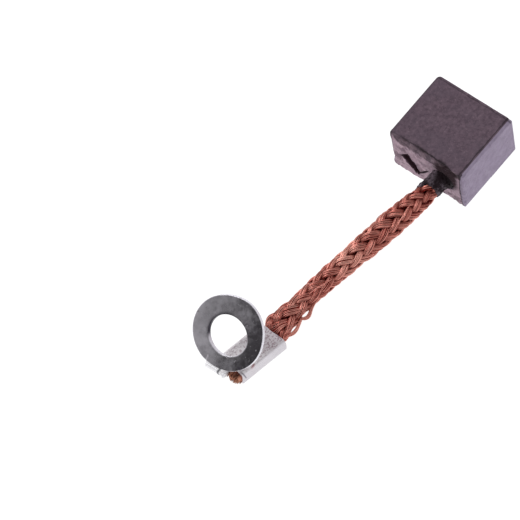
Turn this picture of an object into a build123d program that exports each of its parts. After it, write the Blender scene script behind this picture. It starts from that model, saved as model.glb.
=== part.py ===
from build123d import *
import math
import os

# Carbon brush of a small DC motor: a moulded copper-graphite block, a braided
# copper lead tamped into its rear face, and a folded tinned ring terminal on
# the lead's other end.  Millimetres.
#
# Frame: origin at the middle of the block's underside.  +Z up from the surface
# that the brush lies on, +X the way the wear face looks (the lead leaves the
# opposite face), +Y along the block's longest side.

# ---- driving dimensions ----------------------------------------------------
BLOCK_X = 8.1            # length, from the lead face to the wear face
BLOCK_Y = 9.0            # width
BLOCK_Z = 5.5            # thickness
EDGE_R = 0.45            # the two worn upright edges, at +Y
EDGE_R_SHARP = 0.10      # the two crisp upright edges, at -Y
WEAR_TOP_R = 0.20        # top edge over the wear face, worn round
BROKEN_DEPTH = 0.42      # how far the top edge of the lead face has broken back
BROKEN_DROP = 0.95       # how far down the face the break runs out
BROKEN_SPAN = 6.6        # its length along the edge
BROKEN_MID_Y = 0.75

HOLE_R = 1.40            # moulded socket for the lead
HOLE_DEPTH = 5.6         # socket depth from the lead face
MOUTH_R = 1.60           # flared mouth of the socket
MOUTH_DEPTH = 0.45

CRACK_W = 0.26           # open crack in the lead face
CRACK_DEPTH = 0.50
CRACK_LINE = [(3.32, 2.55), (2.54, 3.05), (1.24, 0.95), (0.05, 2.10)]   # (Y, Z)

LEAD_D = 2.30            # diameter of the braid
LEAD_ROUTE = [           # from the socket's bottom to the cut end
    (0.90, -2.02, 2.66),
    (-4.30, -1.90, 2.60),
    (-9.50, -0.72, 2.36),
    (-15.10, 0.32, 1.93),
    (-20.90, 1.16, 1.50),
    (-27.10, 1.62, 1.20),
    (-32.80, 2.66, 0.98),
]

COLLAR_OUT = 1.70        # how far the cement creeps out along the lead
COLLAR_R0 = 1.36         # radius at the block's face
COLLAR_R1 = 1.25         # radius at its ragged outer end

SHEET_T = 0.45           # terminal sheet
SLEEVE_YAW = 10.6        # degrees, sleeve against the block's X axis
SLEEVE_MOUTH = (-27.02, 1.57)
MOUTH_SKEW = 3.4         # degrees, the mouth's edge against the Y axis
SLEEVE_LEN = 5.45
SLEEVE_W = 3.42          # outside, across
SLEEVE_H = 1.95          # outside, upright
SLEEVE_R_FOLD = 0.62     # outer radius of the folds on the right-hand side
SLEEVE_R_SEAM = 0.52     # outer radius on the seam side
SEAM_GAP = 0.12          # open seam between the sheet's two edges
SQUEEZED_OUT = 0.60      # how far the cut end of the braid stands out of the sleeve

RING_OD = 7.66
RING_ID = 4.20
RING_C = (-31.16, 3.63, 5.03)   # centre of the ring's front face
RING_TILT = 45.0         # ring plane against the floor, leaning over the sleeve
NECK_W = 1.92
NECK_Y = 3.70            # middle of the neck
BEND_R = 0.48            # outer radius of the neck's fold

os.makedirs("parts", exist_ok=True)


# ---- lead route: straight runs joined by tangent arcs -----------------------
pts = [Vector(*p) for p in LEAD_ROUTE]
runs = [(pts[i + 1] - pts[i]).length for i in range(len(pts) - 1)]
radii = []
for i in range(1, len(pts) - 1):
    turn = (pts[i] - pts[i - 1]).get_angle(pts[i + 1] - pts[i])
    radii.append(0.45 * min(runs[i - 1], runs[i]) / math.tan(math.radians(turn / 2)))
path = FilletPolyline(*pts, radius=radii)
print("runs", [round(r, 2) for r in runs])
print("radii", [round(r, 1) for r in radii])
print("lead length", round(path.length, 2))


def tube(radius):
    start = Plane(origin=path @ 0, z_dir=path % 0)
    return sweep(start * Circle(radius), path=path)


lead_tube = tube(LEAD_D / 2)
print("tube volume / (section x length)",
      round(lead_tube.volume / (math.pi * LEAD_D ** 2 / 4 * path.length), 4))


# ---- carbon block ------------------------------------------------------------
block = Pos(0, 0, BLOCK_Z / 2) * Box(BLOCK_X, BLOCK_Y, BLOCK_Z)
ups = block.edges().filter_by(Axis.Z)
block = fillet([e for e in ups if e.center().Y > 0], EDGE_R)
block = fillet([e for e in block.edges().filter_by(Axis.Z) if e.center().Y < 0],
               EDGE_R_SHARP)
# top edge of the lead face, broken back in a shallow scallop
scallop_r = (BROKEN_SPAN ** 2 / 4 + BROKEN_DEPTH ** 2) / (2 * BROKEN_DEPTH)
scallop_tilt = math.degrees(math.atan2(BROKEN_DEPTH, BROKEN_DROP))
block = block - (Pos(-BLOCK_X / 2 + BROKEN_DEPTH, BROKEN_MID_Y, BLOCK_Z)
                 * Rot(0, scallop_tilt, 0) * Pos(-scallop_r, 0, 0)
                 * Cylinder(scallop_r, 6))
# rounded top edge over the wear face
block = block - (Pos(BLOCK_X / 2 - WEAR_TOP_R / 2, 0, BLOCK_Z - WEAR_TOP_R / 2)
                 * Box(WEAR_TOP_R, BLOCK_Y + 1, WEAR_TOP_R)
                 - Pos(BLOCK_X / 2 - WEAR_TOP_R, 0, BLOCK_Z - WEAR_TOP_R)
                 * Rot(90, 0, 0) * Cylinder(WEAR_TOP_R, BLOCK_Y + 2))

# socket: a blind hole along the lead's first run, with a flared mouth
axis_dir = (pts[0] - pts[1]).normalized()
face_x = -BLOCK_X / 2
root = pts[1] + (pts[0] - pts[1]) * ((face_x - pts[1].X) / (pts[0].X - pts[1].X))
socket_plane = Plane(origin=(face_x, root.Y, root.Z), z_dir=(1, 0, 0))
hole = socket_plane * Pos(0, 0, HOLE_DEPTH / 2 - 0.5) * Cylinder(HOLE_R, HOLE_DEPTH + 1.0)
mouth = socket_plane * Pos(0, 0, MOUTH_DEPTH / 2) * Cone(MOUTH_R, HOLE_R, MOUTH_DEPTH)
socket = hole + mouth
block = block - socket

# the open crack in the lead face: two strokes that meet low down, left of the lead
crack = None
for (y0, z0), (y1, z1) in zip(CRACK_LINE[:-1], CRACK_LINE[1:]):
    length = math.hypot(y1 - y0, z1 - z0)
    ang = math.degrees(math.atan2(z1 - z0, y1 - y0))
    bar = (Pos(face_x, (y0 + y1) / 2, (z0 + z1) / 2) * Rot(ang, 0, 0)
           * Box(2 * CRACK_DEPTH, length + CRACK_W * 0.6, CRACK_W))
    crack = bar if crack is None else crack + bar
block = block - crack

# a chip out of the lower left corner of the lead face
chip = (Pos(face_x, BLOCK_Y / 2, 1.25) * Rot(0, 0, 45)
        * Box(0.60, 0.9, 0.80))
block = block - chip
if isinstance(block, (ShapeList, list)):
    block = block[0]
export_step(block, "parts/carbon_block.step")

# ---- cement round the lead's root --------------------------------------------
inner = socket_plane * Pos(0, 0, HOLE_DEPTH / 2) * Cylinder(HOLE_R, HOLE_DEPTH)
inner = inner + mouth
lead_out = (pts[2] - pts[1]).normalized()
cone_plane = Plane(origin=(face_x, root.Y, root.Z), z_dir=lead_out)
collar = cone_plane * Pos(0, 0, COLLAR_OUT / 2 - 0.3) * Cone(
    COLLAR_R0, COLLAR_R1, COLLAR_OUT + 0.6)
outside = Pos(face_x - 10, 0, 0) * Box(20, 30, 30)
collar = collar & outside
cement = inner + collar - lead_tube
export_step(cement, "parts/root_cement.step")

# ---- terminal -------------------------------------------------------------------
# local frame of the sleeve: x along the sleeve away from the block, y to its
# left seen from above with the block behind, z up
yaw = math.radians(SLEEVE_YAW)
a = Vector(-math.cos(yaw), math.sin(yaw), 0)
b = Vector(math.sin(yaw), math.cos(yaw), 0)
mouth_origin = Vector(SLEEVE_MOUTH[0], SLEEVE_MOUTH[1], 0)
# section plane: its x is the sleeve's right (-b), its y is up, its z runs along the sleeve
section = Plane(origin=mouth_origin, x_dir=b * -1, z_dir=a)


def rounded_section(w, h, r_right, r_left, z0):
    """Closed outline in (across, up), rounded more on the fold side (across > 0)."""
    x0, x1 = -w / 2, w / 2
    r_left, r_right = r_right, r_left
    k = 1 - math.sqrt(0.5)
    return make_face([
        Line((x0 + r_right, z0), (x1 - r_left, z0)),
        ThreePointArc((x1 - r_left, z0), (x1 - r_left * k, z0 + r_left * k), (x1, z0 + r_left)),
        Line((x1, z0 + r_left), (x1, z0 + h - r_left)),
        ThreePointArc((x1, z0 + h - r_left), (x1 - r_left * k, z0 + h - r_left * k),
                      (x1 - r_left, z0 + h)),
        Line((x1 - r_left, z0 + h), (x0 + r_right, z0 + h)),
        ThreePointArc((x0 + r_right, z0 + h), (x0 + r_right * k, z0 + h - r_right * k),
                      (x0, z0 + h - r_right)),
        Line((x0, z0 + h - r_right), (x0, z0 + r_right)),
        ThreePointArc((x0, z0 + r_right), (x0 + r_right * k, z0 + r_right * k),
                      (x0 + r_right, z0)),
    ])


BACK = 0.8               # overlength at the mouth, cut off on the skew
start = section * Pos(0, 0, -BACK)
outer_face = start * rounded_section(SLEEVE_W, SLEEVE_H, SLEEVE_R_FOLD, SLEEVE_R_SEAM, 0)
inner_w = SLEEVE_W - 2 * SHEET_T
inner_h = SLEEVE_H - 2 * SHEET_T
inner_face = start * rounded_section(inner_w, inner_h, SLEEVE_R_FOLD - SHEET_T,
                                     SLEEVE_R_SEAM - SHEET_T, SHEET_T)
skew = math.radians(MOUTH_SKEW)
mouth_cut = (Plane(origin=mouth_origin, x_dir=(math.cos(skew), -math.sin(skew), 0), z_dir=(0, 0, 1))
             * Pos(20, 0, 0) * Box(40, 40, 40))
bore = extrude(inner_face, amount=SLEEVE_LEN + BACK + 0.5) - mouth_cut
sleeve = extrude(outer_face, amount=SLEEVE_LEN + BACK) - mouth_cut - bore
seam = (section * Pos(-SLEEVE_W / 2 + SHEET_T / 2, SHEET_T + SEAM_GAP / 2 + 0.15, SLEEVE_LEN / 2)
        * Box(SHEET_T * 2.2, SEAM_GAP, SLEEVE_LEN + 4))
sleeve = sleeve - seam

# ring and neck: one flat strip that lies over the fold line, leaning back
tilt = math.radians(RING_TILT)
q = Vector(math.cos(tilt), 0, math.sin(tilt))          # up the ring's plane
n = Vector(-math.sin(tilt), 0, math.cos(tilt))         # front face normal
ring_plane = Plane(origin=Vector(*RING_C), x_dir=Vector(0, -1, 0), z_dir=n)
disc = ring_plane * Pos(0, 0, -SHEET_T / 2) * Cylinder(RING_OD / 2, SHEET_T)
hole_ring = ring_plane * Pos(0, 0, -SHEET_T / 2) * Cylinder(RING_ID / 2, SHEET_T * 3)
# point where the flat strip ends and the fold begins
low = Vector(*RING_C) - q * (RING_OD / 2)
strip = (ring_plane * Pos(RING_C[1] - NECK_Y, -(RING_OD / 2) * 0.75, -SHEET_T / 2)
         * Box(NECK_W, RING_OD / 2 * 0.5, SHEET_T))
# the fold: an arc of sheet about an axis along Y
cx = low.X + BEND_R * math.sin(tilt)
cz = low.Z - BEND_R * math.cos(tilt)
fold_cyl = Pos(cx, NECK_Y, cz) * Rot(90, 0, 0) * (
    Cylinder(BEND_R, NECK_W) - Cylinder(BEND_R - SHEET_T, NECK_W + 1))
# the outer part of the fold: from straight down, round the front, to the strip
fold = (fold_cyl - Pos(cx + 5, NECK_Y, cz) * Box(10, 10, 20)
        - Pos(cx, NECK_Y, cz) * Rot(0, 90 - RING_TILT, 0) * Pos(0, 0, 5) * Box(20, 10, 10))
fold = fold + (fold_cyl & (Pos(cx, NECK_Y, cz) * Rot(0, -RING_TILT, 0)
                           * Pos(-5, 0, 0) * Box(10, 10, 20)
                           & Pos(cx - 5, NECK_Y, cz) * Box(10, 10, 20)))
# flat neck, in line with the sleeve's top, from the fold's foot back to the sleeve
end_x = mouth_origin.X + a.X * SLEEVE_LEN
foot = cz - BEND_R
neck = Pos(0, 0, foot) * extrude(make_face(Polyline(
    (cx, NECK_Y - NECK_W / 2), (cx, NECK_Y + NECK_W / 2),
    (end_x + 0.1, NECK_Y + 0.25), (end_x + 0.8, NECK_Y + 0.02),
    (end_x + 0.8, NECK_Y - NECK_W / 2 - 0.3), (end_x - 0.25, NECK_Y - NECK_W / 2 - 0.25),
    (cx - 0.0, NECK_Y - NECK_W / 2))), amount=SHEET_T)
print("fold centre", round(cx, 2), round(cz, 2), "neck from z", round(foot, 2))

terminal = sleeve + neck + fold + strip + disc - hole_ring
if isinstance(terminal, (ShapeList, list)):
    terminal = terminal[0]
export_step(terminal, "parts/ring_terminal.step")

# ---- lead ---------------------------------------------------------------------------
# a tube up to the sleeve's mouth, then squeezed to the sleeve's inside
free_lead = lead_tube & mouth_cut
squeezed = extrude(inner_face, amount=SLEEVE_LEN + BACK + SQUEEZED_OUT) - mouth_cut
lead = free_lead + squeezed
if isinstance(lead, (ShapeList, list)):
    lead = lead[0]
export_step(lead, "parts/braided_shunt.step")
for name, s in (("carbon_block", block), ("root_cement", cement),
                ("ring_terminal", terminal), ("braided_shunt", lead)):
    bb = s.bounding_box()
    print(name, type(s).__name__, len(s.solids()), "vol", round(s.volume, 2),
          [round(v, 2) for v in (bb.min.X, bb.min.Y, bb.min.Z, bb.max.X, bb.max.Y, bb.max.Z)])
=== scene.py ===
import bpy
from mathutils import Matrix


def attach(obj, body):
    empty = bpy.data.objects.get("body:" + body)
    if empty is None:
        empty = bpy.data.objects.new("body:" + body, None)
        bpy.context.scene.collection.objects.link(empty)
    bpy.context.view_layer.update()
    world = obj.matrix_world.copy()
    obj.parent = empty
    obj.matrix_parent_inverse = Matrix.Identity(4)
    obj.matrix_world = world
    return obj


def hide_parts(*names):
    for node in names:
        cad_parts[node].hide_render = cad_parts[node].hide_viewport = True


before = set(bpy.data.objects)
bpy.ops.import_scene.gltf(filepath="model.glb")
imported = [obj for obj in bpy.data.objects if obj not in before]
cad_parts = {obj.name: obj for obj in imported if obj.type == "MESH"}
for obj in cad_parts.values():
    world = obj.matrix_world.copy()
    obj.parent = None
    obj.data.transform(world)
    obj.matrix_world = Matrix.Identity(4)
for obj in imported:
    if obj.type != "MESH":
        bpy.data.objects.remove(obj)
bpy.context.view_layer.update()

import math

import bpy
import numpy as np
from mathutils import Matrix, Vector

MM = 0.001
scene = bpy.context.scene


# =============================================================================
# camera
# =============================================================================
PX_PER_MM = 10.2
DIST = 1.60
D = Vector((-0.363, -0.365, 0.857)).normalized()      # from the object to the camera
R = Vector((0.609, -0.789, -0.0774))
R = (R - D * R.dot(D)).normalized()
U = D.cross(R)
TARGET = Vector((-20.5, 8.35, 0.0)) * MM
cam_data = bpy.data.cameras.new("camera")
cam = bpy.data.objects.new("camera", cam_data)
scene.collection.objects.link(cam)
cam_data.sensor_fit = "HORIZONTAL"
cam_data.sensor_width = 36.0
cam_data.lens = 36.0 * DIST / (520.0 / PX_PER_MM * MM)
cam.matrix_world = Matrix(((R.x, U.x, D.x, TARGET.x + D.x * DIST),
                           (R.y, U.y, D.y, TARGET.y + D.y * DIST),
                           (R.z, U.z, D.z, TARGET.z + D.z * DIST),
                           (0, 0, 0, 1)))
cam_data.clip_start = 0.01
cam_data.clip_end = 20.0
scene.camera = cam


# =============================================================================
# numpy helpers
# =============================================================================
class Lattice:
    """Smooth seeded 3-D noise in -1..1."""

    def __init__(self, seed, n=32):
        self.n = n
        self.t = np.random.RandomState(seed).uniform(-1, 1, (n, n, n)).astype(np.float32)

    def __call__(self, p):
        p = np.asarray(p, float)
        i = np.floor(p).astype(int)
        f = p - i
        f = f * f * f * (f * (f * 6 - 15) + 10)
        n = self.n
        out = 0
        for dx in (0, 1):
            wx = f[..., 0] if dx else 1 - f[..., 0]
            for dy in (0, 1):
                wy = f[..., 1] if dy else 1 - f[..., 1]
                for dz in (0, 1):
                    wz = f[..., 2] if dz else 1 - f[..., 2]
                    out = out + wx * wy * wz * self.t[(i[..., 0] + dx) % n, (i[..., 1] + dy) % n,
                                                      (i[..., 2] + dz) % n]
        return out


def fractal(seed, p, octaves=3, gain=0.5):
    out, amp = 0, 1.0
    for o in range(octaves):
        out = out + amp * Lattice(seed + 17 * o)(np.asarray(p) * 2.0 ** o + 3.7 * o)
        amp *= gain
    return out


def smooth(a, b, x):
    t = np.clip((x - a) / (b - a), 0, 1)
    return t * t * (3 - 2 * t)


def smin(a, b, k):
    h = np.clip(0.5 + 0.5 * (b - a) / k, 0, 1)
    return b * (1 - h) + a * h - k * h * (1 - h)


def smax(a, b, k):
    return -smin(-a, -b, k)


def seg_dist(p, a, b):
    """Distance from points to a segment, and the share of the way along it."""
    a, b = np.asarray(a, float), np.asarray(b, float)
    ab = b - a
    t = np.clip(((p - a) @ ab) / (ab @ ab), 0, 1)
    return np.linalg.norm(p - (a + t[..., None] * ab), axis=-1), t


def surface(sdf, lo, hi, h, project=2):
    """Surface nets over a signed distance in millimetres: vertices and quads."""
    lo, hi = np.asarray(lo, float), np.asarray(hi, float)
    n = np.ceil((hi - lo) / h).astype(int) + 1
    ax = [lo[i] + h * np.arange(n[i]) for i in range(3)]
    F = np.empty(n, np.float32)
    for i in range(n[0]):
        P = np.empty((n[1], n[2], 3))
        P[..., 0] = ax[0][i]
        P[..., 1] = ax[1][:, None]
        P[..., 2] = ax[2][None, :]
        F[i] = sdf(P)
    S = F < 0
    cnt = np.zeros(n - 1, np.int8)
    corners = [(dx, dy, dz) for dx in (0, 1) for dy in (0, 1) for dz in (0, 1)]
    for dx, dy, dz in corners:
        cnt += S[dx:n[0] - 1 + dx, dy:n[1] - 1 + dy, dz:n[2] - 1 + dz]
    act = (cnt > 0) & (cnt < 8)
    idx = np.argwhere(act)
    ids = -np.ones(n - 1, np.int64)
    ids[act] = np.arange(len(idx))
    pos = np.zeros((len(idx), 3))
    num = np.zeros(len(idx))
    for a in corners:
        for axis in range(3):
            if a[axis]:
                continue
            b = list(a)
            b[axis] = 1
            va = F[idx[:, 0] + a[0], idx[:, 1] + a[1], idx[:, 2] + a[2]]
            vb = F[idx[:, 0] + b[0], idx[:, 1] + b[1], idx[:, 2] + b[2]]
            m = (va < 0) != (vb < 0)
            t = np.where(m, va / np.where(m, va - vb, 1), 0)
            q = idx + np.array(a)
            q = q.astype(float)
            q[:, axis] += t
            pos[m] += q[m]
            num[m] += 1
    v = lo + h * pos / num[:, None]
    quads = []
    for axis in range(3):
        o1, o2 = (axis + 1) % 3, (axis + 2) % 3
        sl_a = [slice(None)] * 3
        sl_b = [slice(None)] * 3
        sl_a[axis] = slice(0, n[axis] - 1)
        sl_b[axis] = slice(1, n[axis])
        sa, sb = S[tuple(sl_a)], S[tuple(sl_b)]
        e = np.argwhere(sa != sb)
        e = e[(e[:, o1] > 0) & (e[:, o1] < n[o1] - 1) & (e[:, o2] > 0) & (e[:, o2] < n[o2] - 1)]
        flip = sa[e[:, 0], e[:, 1], e[:, 2]]
        ring = []
        for d1, d2 in ((-1, -1), (0, -1), (0, 0), (-1, 0)):
            c = e.copy()
            c[:, o1] += d1
            c[:, o2] += d2
            ring.append(ids[c[:, 0], c[:, 1], c[:, 2]])
        ring = np.stack(ring, 1)
        ring[~flip] = ring[~flip][:, ::-1]
        quads.append(ring)
    quads = np.concatenate(quads)
    for _ in range(project):
        g, f = gradient(sdf, v, h * 0.35)
        g2 = np.maximum((g * g).sum(1), 0.25)
        step = -(f / g2)[:, None] * g
        length = np.linalg.norm(step, axis=1)
        step *= np.minimum(1, 0.5 * h / np.maximum(length, 1e-12))[:, None]
        v = v + step
    return v, quads


def gradient(sdf, v, e):
    f = sdf(v)
    g = np.stack([(sdf(v + np.eye(3)[i] * e) - sdf(v - np.eye(3)[i] * e)) / (2 * e)
                  for i in range(3)], 1)
    return g, f


def biggest(v, quads):
    """Only the largest connected shell, so no stray crumbs are left."""
    from_ = quads[:, [0, 1, 2, 3]].ravel()
    to = quads[:, [1, 2, 3, 0]].ravel()
    label = np.arange(len(v))
    while True:
        low = np.minimum(label[from_], label[to])
        new = label.copy()
        np.minimum.at(new, from_, low)
        np.minimum.at(new, to, low)
        new = new[new]
        if (new == label).all():
            break
        label = new
    values, counts = np.unique(label[quads[:, 0]], return_counts=True)
    keep = values[counts.argmax()]
    quads = quads[label[quads[:, 0]] == keep]
    used = np.unique(quads)
    remap = -np.ones(len(v), np.int64)
    remap[used] = np.arange(len(used))
    return v[used], remap[quads], used


def make_mesh(name, verts_mm, quads, attributes=None, tris=None):
    """A mesh object from points in millimetres, smooth shaded, with float attributes."""
    me = bpy.data.meshes.new(name)
    n, q = len(verts_mm), len(quads)
    t = 0 if tris is None else len(tris)
    me.vertices.add(n)
    me.vertices.foreach_set("co", (np.asarray(verts_mm) * MM).astype(np.float32).ravel())
    me.loops.add(4 * q + 3 * t)
    loops = np.asarray(quads).ravel()
    starts = 4 * np.arange(q)
    if t:
        loops = np.concatenate([loops, np.asarray(tris).ravel()])
        starts = np.concatenate([starts, 4 * q + 3 * np.arange(t)])
    me.loops.foreach_set("vertex_index", loops.astype(np.int32))
    me.polygons.add(q + t)
    me.polygons.foreach_set("loop_start", starts.astype(np.int32))
    me.polygons.foreach_set("use_smooth", np.ones(q + t, bool))
    me.update(calc_edges=True)
    me.validate()
    for key, values in (attributes or {}).items():
        a = me.attributes.new(key, "FLOAT", "POINT")
        a.data.foreach_set("value", np.asarray(values, np.float32))
    ob = bpy.data.objects.new(name, me)
    scene.collection.objects.link(ob)
    return ob


# =============================================================================
# material helpers
# =============================================================================
class Nodes:
    def __init__(self, name):
        self.mat = bpy.data.materials.new(name)
        self.mat.use_nodes = True
        self.t = self.mat.node_tree
        self.t.nodes.clear()
        self.out = self.new("ShaderNodeOutputMaterial")
        self.bsdf = self.new("ShaderNodeBsdfPrincipled")
        self.link(self.bsdf.outputs[0], self.out.inputs[0])
        self.obj = self.new("ShaderNodeTexCoord").outputs["Object"]

    def new(self, kind, **props):
        nd = self.t.nodes.new(kind)
        for k, val in props.items():
            setattr(nd, k, val)
        return nd

    def link(self, a, b):
        self.t.links.new(a, b)

    def put(self, socket, value):
        if isinstance(value, bpy.types.NodeSocket):
            self.link(value, socket)
        else:
            socket.default_value = value

    def attr(self, name):
        return self.new("ShaderNodeAttribute", attribute_name=name).outputs["Fac"]

    def noise(self, scale, detail=3.0, rough=0.55, vec=None, distortion=0.0):
        nd = self.new("ShaderNodeTexNoise")
        self.put(nd.inputs["Vector"], vec if vec is not None else self.obj)
        nd.inputs["Scale"].default_value = scale
        nd.inputs["Detail"].default_value = detail
        nd.inputs["Roughness"].default_value = rough
        nd.inputs["Distortion"].default_value = distortion
        return nd.outputs["Fac"]

    def voronoi(self, scale, vec=None, feature="F1"):
        nd = self.new("ShaderNodeTexVoronoi", feature=feature)
        self.put(nd.inputs["Vector"], vec if vec is not None else self.obj)
        nd.inputs["Scale"].default_value = scale
        return nd

    def ramp(self, value, a, b, lo=0.0, hi=1.0):
        nd = self.new("ShaderNodeMapRange")
        nd.interpolation_type = "SMOOTHSTEP"
        self.put(nd.inputs["Value"], value)
        nd.inputs["From Min"].default_value = a
        nd.inputs["From Max"].default_value = b
        nd.inputs["To Min"].default_value = lo
        nd.inputs["To Max"].default_value = hi
        return nd.outputs["Result"]

    def math(self, op, a, b=None):
        nd = self.new("ShaderNodeMath", operation=op)
        self.put(nd.inputs[0], a)
        if b is not None:
            self.put(nd.inputs[1], b)
        return nd.outputs[0]

    def bump(self, height, strength, distance, normal=None):
        nd = self.new("ShaderNodeBump")
        nd.inputs["Strength"].default_value = strength
        nd.inputs["Distance"].default_value = distance
        self.put(nd.inputs["Height"], height)
        if normal is not None:
            self.link(normal, nd.inputs["Normal"])
        return nd.outputs["Normal"]

    def stretch(self, scale):
        nd = self.new("ShaderNodeMapping")
        self.link(self.obj, nd.inputs["Vector"])
        nd.inputs["Scale"].default_value = scale
        return nd.outputs["Vector"]


def mix_rgba(nd, fac, a, b, blend="MIX"):
    """Colour mix node, sockets found by their place."""
    m = nd.new("ShaderNodeMix", data_type="RGBA", blend_type=blend)
    nd.put(m.inputs[0], fac)
    for sock, value in ((m.inputs[6], a), (m.inputs[7], b)):
        if isinstance(value, (tuple, list)):
            value = (*value[:3], 1.0)
        nd.put(sock, value)
    return m.outputs[2]


# =============================================================================
# lead: the route's spline, and the braid's wires along it
# =============================================================================
ROUTE = [
    (0.90, -2.02, 2.66),
    (-4.30, -1.92, 2.60),
    (-9.50, -0.90, 2.36),
    (-15.10, 0.14, 1.93),
    (-20.90, 1.28, 1.50),
    (-27.10, 1.86, 1.20),
    (-32.80, 2.66, 0.98),
]
FACE_X = -4.05
ROOT = np.array((-4.05, -1.905, 2.603))

curve = bpy.data.curves.new("lead_route", "CURVE")
curve.dimensions = "3D"
curve.resolution_u = 48
spline = curve.splines.new("NURBS")
spline.points.add(len(ROUTE) - 1)
for point, co in zip(spline.points, ROUTE):
    point.co = (co[0] * MM, co[1] * MM, co[2] * MM, 1.0)
spline.order_u = 3
spline.use_endpoint_u = True
route_object = bpy.data.objects.new("lead_route", curve)
scene.collection.objects.link(route_object)
bpy.context.view_layer.update()
route_mesh = bpy.data.meshes.new_from_object(
    route_object.evaluated_get(bpy.context.evaluated_depsgraph_get()))
LINE = np.array([v.co for v in route_mesh.vertices], float) / MM
bpy.data.objects.remove(route_object)
bpy.data.meshes.remove(route_mesh)
if LINE[0, 0] < LINE[-1, 0]:
    LINE = LINE[::-1]
S_LINE = np.concatenate([[0], np.cumsum(np.linalg.norm(np.diff(LINE, axis=0), axis=1))])
LENGTH = S_LINE[-1]


def along(s):
    return np.stack([np.interp(s, S_LINE, LINE[:, i]) for i in range(3)], -1)


def frame_at(s):
    """Centre, tangent, sideways (left of the lead seen from above, block behind) and up."""
    c = along(s)
    t = along(np.minimum(s + 0.4, LENGTH)) - along(np.maximum(s - 0.4, 0))
    t /= np.linalg.norm(t, axis=-1, keepdims=True)
    up = np.array((0, 0, 1.0)) - t * t[..., 2:3]
    up /= np.linalg.norm(up, axis=-1, keepdims=True)
    side = np.cross(up, t)
    return c, t, side, up


# sleeve's own frame
YAW = math.radians(10.6)
SL_A = np.array((-math.cos(YAW), math.sin(YAW), 0.0))
SL_B = np.array((math.sin(YAW), math.cos(YAW), 0.0))
SL_O = np.array((-27.02, 1.57, 0.0))
SL_LEN, SL_W, SL_H, SHEET = 5.45, 3.42, 1.95, 0.45


def s_at_x(x):
    return float(np.interp(-x, -LINE[:, 0], S_LINE))


S_FACE = s_at_x(FACE_X)
S_MOUTH = s_at_x(-27.0)
S_END = s_at_x(-32.35)


def section(s):
    """Half width and half height of the braid's middle surface along the lead."""
    x = np.interp(s, S_LINE, LINE[:, 0])
    keys = np.array([-40, -32.6, -31.4, -29.5, -28.0, -27.2, -26.6, -26.0, -25.2, -24.2, -23.2, -22.2, -21.0,
                     -19.6, -18.2, -16.6, -15.0, -12.5, -10.2, -8.4, -7.4, -6.5, -5.9, -5.2, 2.0])
    wide = np.array([0.60, 0.66, 0.90, 0.98, 0.98, 1.00, 1.02, 0.99, 0.90, 0.78, 0.62, 0.60, 0.68,
                     0.72, 0.74, 0.77, 0.84, 0.92, 0.92, 0.86, 0.78, 0.66, 0.54, 0.42, 0.42])
    high = np.array([0.36, 0.34, 0.27, 0.26, 0.26, 0.32, 0.60, 0.80, 0.82, 0.78, 0.68, 0.66, 0.70,
                     0.72, 0.74, 0.77, 0.82, 0.90, 0.90, 0.84, 0.76, 0.66, 0.54, 0.42, 0.42])
    return np.interp(x, keys, wide), np.interp(x, keys, high)


def braid_point(s, theta, radial, lift=0.0):
    """A point of the braid: theta round it (0 = left side, 90 deg = up), radial from its middle surface."""
    c, t, side, up = frame_at(s)
    # inside the sleeve the braid follows the sleeve's own middle
    k = smooth(S_MOUTH - 1.4, S_MOUTH + 0.3, s)[..., None]
    d = (c - SL_O) @ SL_A
    sl = SL_O + d[..., None] * SL_A + np.array((0, 0, SL_H / 2 + 0.02))
    sl = sl - 0.74 * smooth(S_END - 1.8, S_END + 0.2, s)[..., None] * SL_B
    c = c * (1 - k) + sl * k
    a, b = section(s)
    # squarer section where it is squeezed flat
    flat = smooth(S_MOUTH - 1.5, S_MOUTH + 0.3, s)
    e = 1 - 0.30 * flat
    cu = np.sign(np.cos(theta)) * np.abs(np.cos(theta)) ** e
    cv = np.sign(np.sin(theta)) * np.abs(np.sin(theta)) ** e
    u = (a + radial) * cu
    v = (b + radial) * cv
    return c + u[..., None] * side + (v + lift)[..., None] * up


# lay of the braid: angle turned per millimetre
STEP = 0.19
S_GRID = np.arange(0, LENGTH + 1e-6, 0.05)
X_GRID = np.interp(S_GRID, S_LINE, LINE[:, 0])
PITCH = np.interp(X_GRID, [-40, -25, -22, -19.5, -17, -15, -13, -10.5, -8.5, -7, 2],
                  [1.95, 1.92, 1.82, 1.82, 1.86, 1.88, 1.80, 1.60, 1.42, 1.38, 1.38])
TURN = np.concatenate([[0], np.cumsum((math.pi / 4) / PITCH[:-1] * 0.05)])
PHASE = -math.pi / 16 - float(np.interp(s_at_x(-6.45), S_GRID, TURN))   # where a float leaves the seam
N_EACH = 8


WARP = 0.148                     # the column above the seam is wider than the one below


def seam_at(s):
    """Where round the braid the seam between two columns of floats runs."""
    x = np.interp(s, S_LINE, LINE[:, 0])
    return np.radians(np.interp(x, [-26.5, -23.3, -20.8, -19.4, -16.4, -15.0, -13.4, -12.0, -9.5, -7.0],
                                [46, 47, 55, 54, 54, 60, 65, 65, 67, 68]))


def strand_path(s, direction, j):
    turn = np.interp(s, S_GRID, TURN)
    return seam_at(s) + math.pi / 16 + direction * (turn + PHASE) + 2 * math.pi * j / N_EACH


def over(theta, direction, s):
    """1 on top of the braid, -1 beneath: fixed by the column that the strand is in."""
    h = np.sin(4 * (theta - seam_at(s)))
    return direction * np.sign(h) * np.abs(h) ** 0.75


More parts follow.
